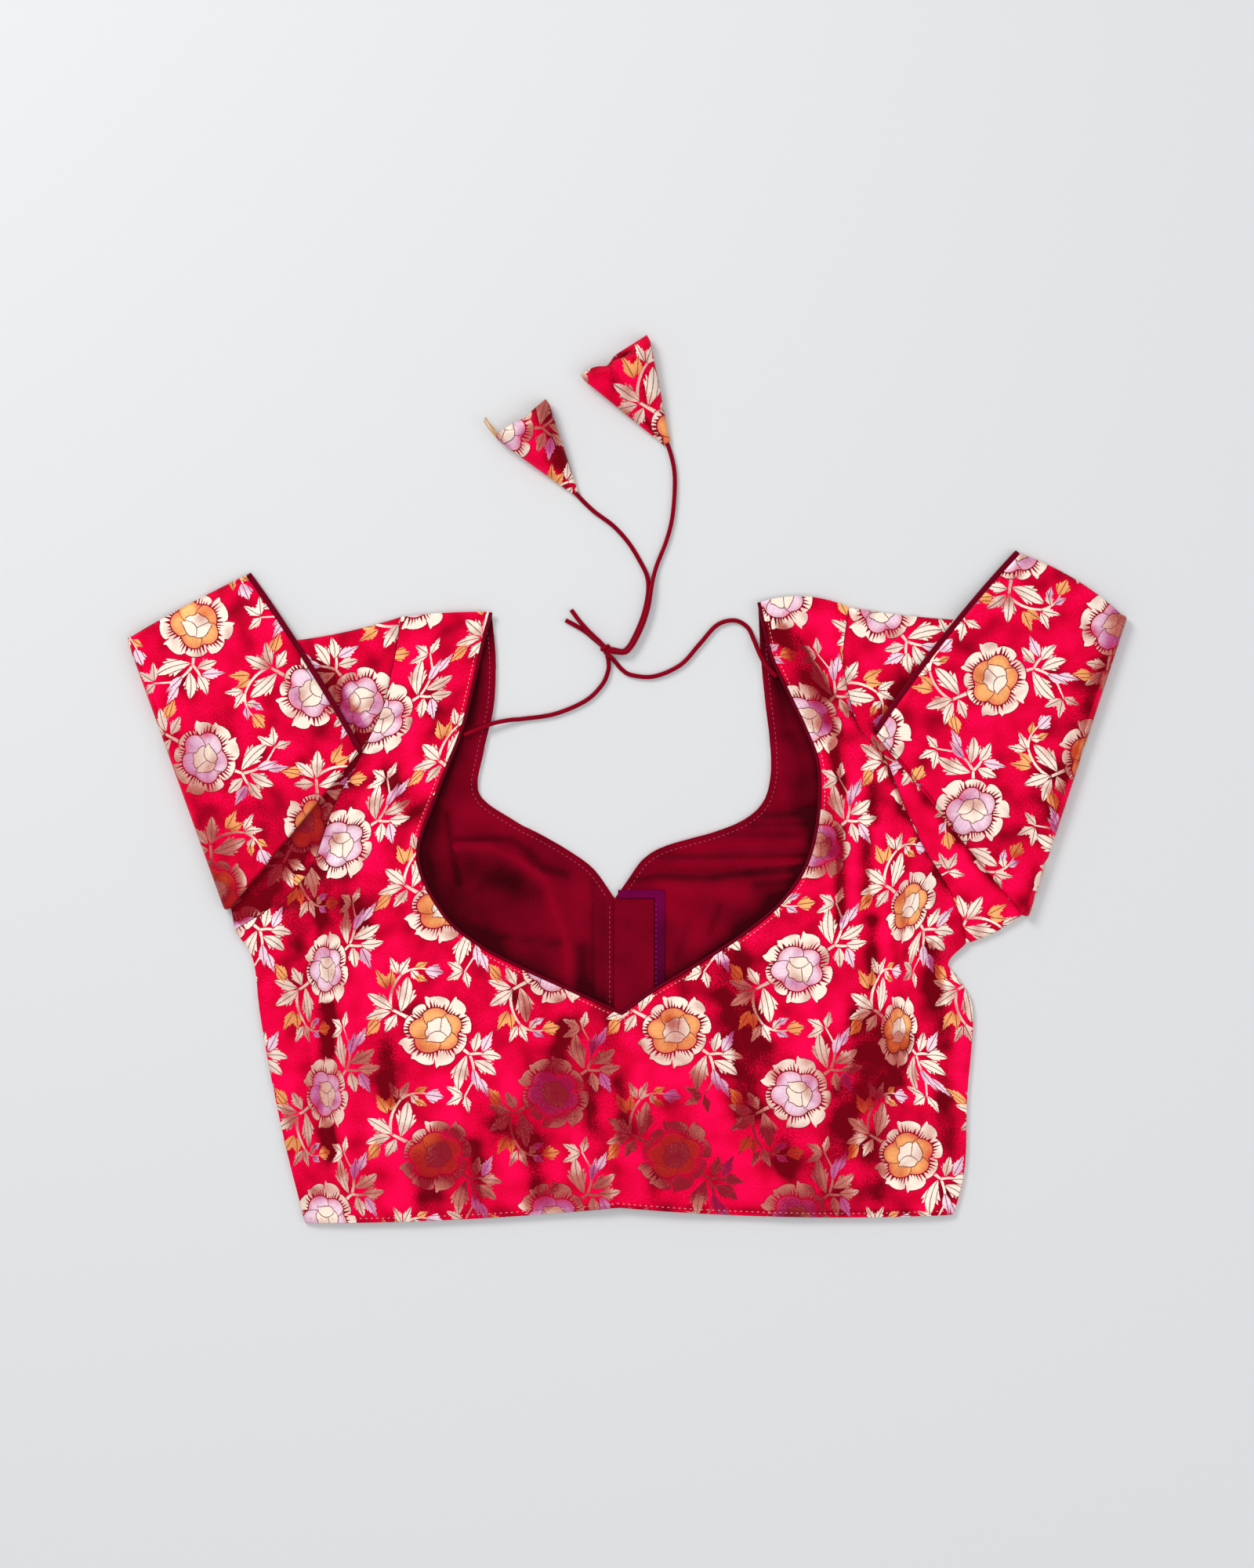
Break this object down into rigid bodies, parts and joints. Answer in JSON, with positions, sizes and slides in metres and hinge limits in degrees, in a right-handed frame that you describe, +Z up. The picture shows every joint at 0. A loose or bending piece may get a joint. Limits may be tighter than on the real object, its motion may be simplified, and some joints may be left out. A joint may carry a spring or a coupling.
{
  "type": "backless blouse",
  "caption": "Lined floral brocade sari blouse with a deep back neck closed by tie cords with cloth tassels, laid flat back up with both sleeves folded in over themselves.",
  "frame": {"origin": "centre of the outline of body and sleeves, without the tie cords and tassels, at the surface the blouse lies on", "axes": "+X to the right of the blouse as seen from above with its back uppermost, +Y from the hem towards the neck, +Z up from the surface"},
  "size_m": [0.6057, 0.538, 0.0125],
  "materials": {
    "crimson_brocade": "silky woven brocade, crimson with floral motifs in cream, lilac and orange",
    "wine_lining": "plain wine-red lining, slightly satiny",
    "violet_facing": "plain violet cloth, matt",
    "maroon_piping": "dark maroon bias cloth over a cord, matt",
    "crimson_cord": "thin stitched tube of dark crimson cloth"
  },
  "bodies": {
    "root": {"back_panel": "crimson_brocade", "front_left": "crimson_brocade", "front_right": "crimson_brocade", "front_lining_left": "wine_lining", "front_lining_right": "wine_lining", "placket_strip": "wine_lining", "placket_underlap": "violet_facing", "back_neck_piping": "maroon_piping", "sleeve_left": "crimson_brocade", "sleeve_right": "crimson_brocade", "sleeve_binding_left": "maroon_piping", "sleeve_binding_right": "maroon_piping", "dori_left": "crimson_cord", "dori_right": "crimson_cord", "tail_left": "crimson_cord", "tail_right": "crimson_cord", "bow_end_upper": "crimson_cord", "bow_end_lower": "crimson_cord", "cord_knot": "crimson_cord", "tassel_left": "crimson_brocade", "tassel_right": "crimson_brocade"}
  },
  "joints": []
}
